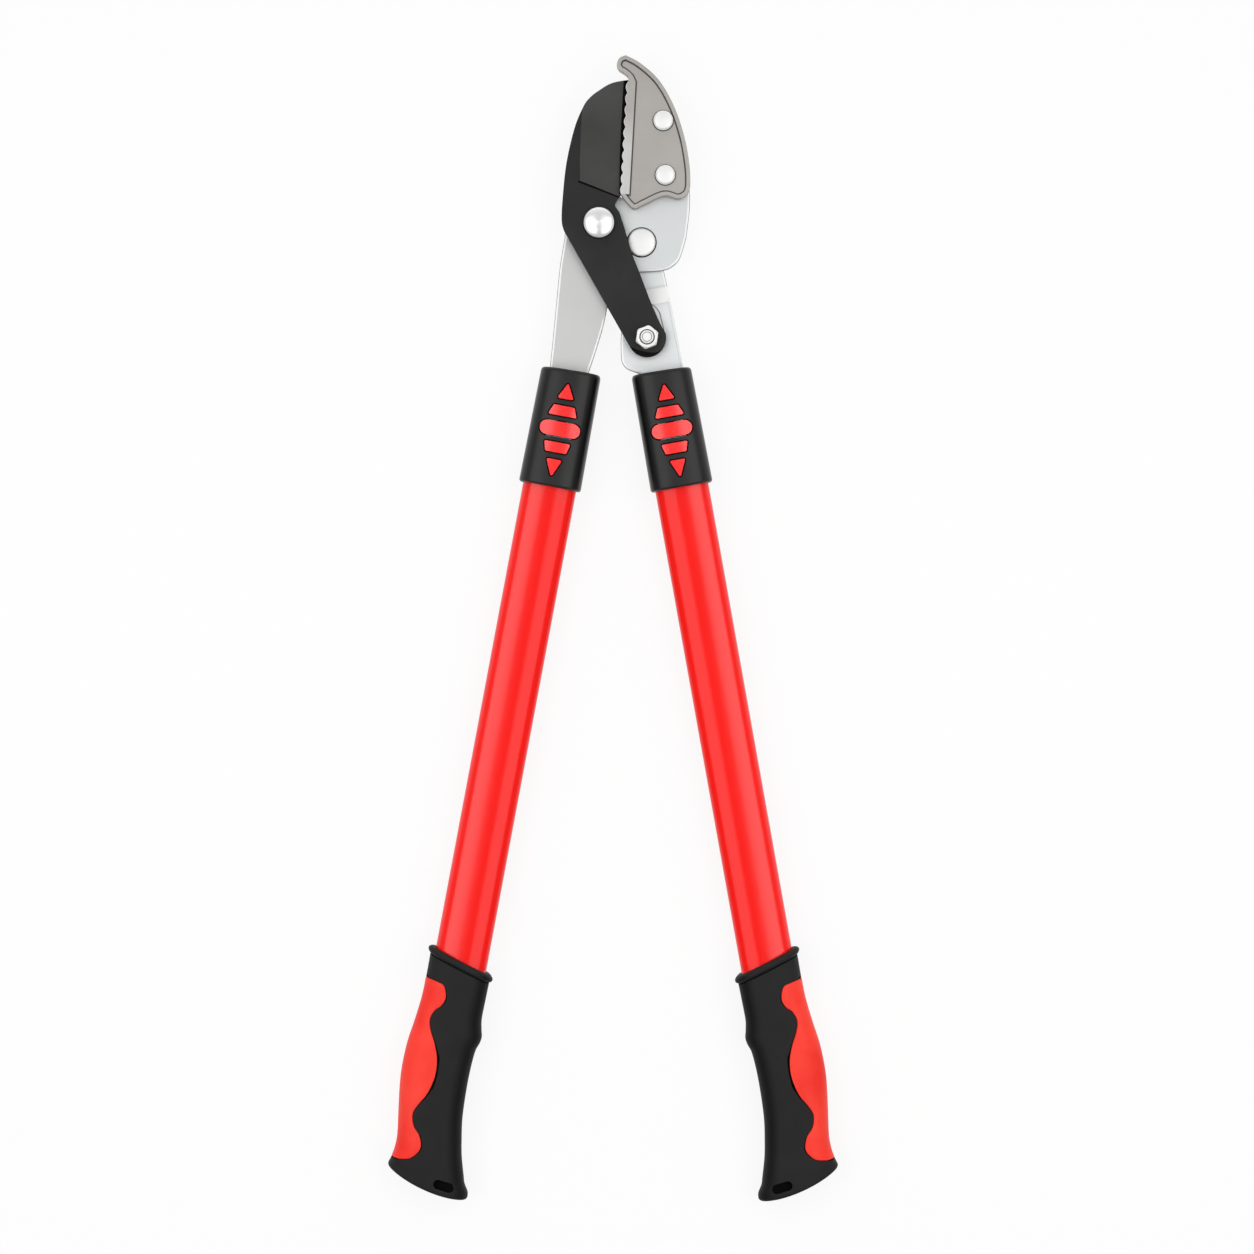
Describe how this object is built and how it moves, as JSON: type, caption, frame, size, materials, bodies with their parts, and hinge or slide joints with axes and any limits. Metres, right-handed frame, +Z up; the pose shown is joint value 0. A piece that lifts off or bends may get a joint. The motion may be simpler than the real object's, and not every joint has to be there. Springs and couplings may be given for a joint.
{
  "type": "telescopic anvil lopper",
  "caption": "Telescopic anvil lopper lying flat: black blade, hooked scalloped anvil and cam-driven compound head on red oval tubes that slide out, with push-button collars and soft grips.",
  "frame": {"origin": "middle of the tool's bounding box in X and Y, on the surface that it lies on", "axes": "+Y from the grips towards the jaws, +X towards the handle that drives the blade, +Z up from the surface that it lies on"},
  "size_m": [0.273, 0.7004, 0.0313],
  "materials": {
    "carrier_steel": "satin, lightly ground",
    "strap_steel": "satin, with softly worn edges",
    "blade_coated": "black non-stick coating over ground steel, satin",
    "anvil_alloy": "die-cast, matt",
    "bright_steel": "polished and plated",
    "zinc_steel": "zinc plated",
    "spring_steel": "bright rolled",
    "tube_inner": "drawn, anodised, satin",
    "tube_red": "gloss red powder coat",
    "collar_black": "fine matt texture",
    "button_red": "smooth, glossy",
    "bush_grey": "smooth",
    "inlay_red": "smooth",
    "grip_black": "fine matt texture",
    "grip_red": "fine matt texture"
  },
  "bodies": {
    "frame": {"frame_plate": "carrier_steel", "anvil_block": "anvil_alloy", "anvil_rivet_upper": "bright_steel", "anvil_rivet_lower": "bright_steel", "pivot_bolt": "bright_steel", "pivot_spacer": "zinc_steel", "pivot_washer": "zinc_steel", "pivot_nut": "zinc_steel", "lever_rivet": "bright_steel", "lever_washer": "zinc_steel", "left_inner_tube": "tube_inner", "left_tang_plug": "bush_grey", "left_tang_rivet_upper": "zinc_steel", "left_tang_rivet_lower": "zinc_steel", "left_slide_bush": "bush_grey"},
    "blade": {"blade": "blade_coated", "tail_bolt": "zinc_steel", "tail_washer": "zinc_steel", "tail_nut": "zinc_steel"},
    "right_lever": {"lever_strap": "strap_steel", "slot_wear_plate": "spring_steel", "right_inner_tube": "tube_inner", "right_tang_plug": "bush_grey", "right_tang_rivet_upper": "zinc_steel", "right_tang_rivet_lower": "zinc_steel", "right_slide_bush": "bush_grey"},
    "left_outer": {"left_outer_tube": "tube_red", "left_collar": "collar_black", "left_guide_bush": "bush_grey", "left_lock_spring": "spring_steel", "left_collar_arrow_top": "inlay_red", "left_collar_bar_upper": "inlay_red", "left_collar_bar_lower": "inlay_red", "left_collar_arrow_bottom": "inlay_red", "left_grip": "grip_black", "left_grip_inlay": "grip_red"},
    "right_outer": {"right_outer_tube": "tube_red", "right_collar": "collar_black", "right_guide_bush": "bush_grey", "right_lock_spring": "spring_steel", "right_collar_arrow_top": "inlay_red", "right_collar_bar_upper": "inlay_red", "right_collar_bar_lower": "inlay_red", "right_collar_arrow_bottom": "inlay_red", "right_grip": "grip_black", "right_grip_inlay": "grip_red"},
    "left_lock": {"left_lock_stirrup": "spring_steel", "left_lock_button": "button_red"},
    "right_lock": {"right_lock_stirrup": "spring_steel", "right_lock_button": "button_red"}
  },
  "joints": [
    {"name": "handle_open", "type": "hinge", "parent": "frame", "child": "right_lever", "pos_m": [0.01515, 0.23749, 0.015], "axis": [0, 0, 1], "range_deg": [0, 63]},
    {"name": "blade_swing", "type": "hinge", "parent": "frame", "child": "blade", "pos_m": [-0.01085, 0.24879, 0.015], "axis": [0, 0, 1], "range_deg": [0, 42]},
    {"name": "left_telescope", "type": "slide", "parent": "frame", "child": "left_outer", "axis": [-0.1805, -0.9836, 0], "range_m": [0, 0.3]},
    {"name": "right_telescope", "type": "slide", "parent": "right_lever", "child": "right_outer", "axis": [0.1805, -0.9836, 0], "range_m": [0, 0.3]},
    {"name": "left_button_press", "type": "slide", "parent": "left_outer", "child": "left_lock", "axis": [0, 0, -1], "range_m": [0, 0.002], "stiffness_N_per_m": 1500, "springref_m": -0.001, "deforming": ["left_lock_spring"]},
    {"name": "right_button_press", "type": "slide", "parent": "right_outer", "child": "right_lock", "axis": [0, 0, -1], "range_m": [0, 0.002], "stiffness_N_per_m": 1500, "springref_m": -0.001, "deforming": ["right_lock_spring"]}
  ],
  "couplings": [
    {"joint": "blade_swing", "follows": "handle_open", "ratio": 0.66667}
  ]
}
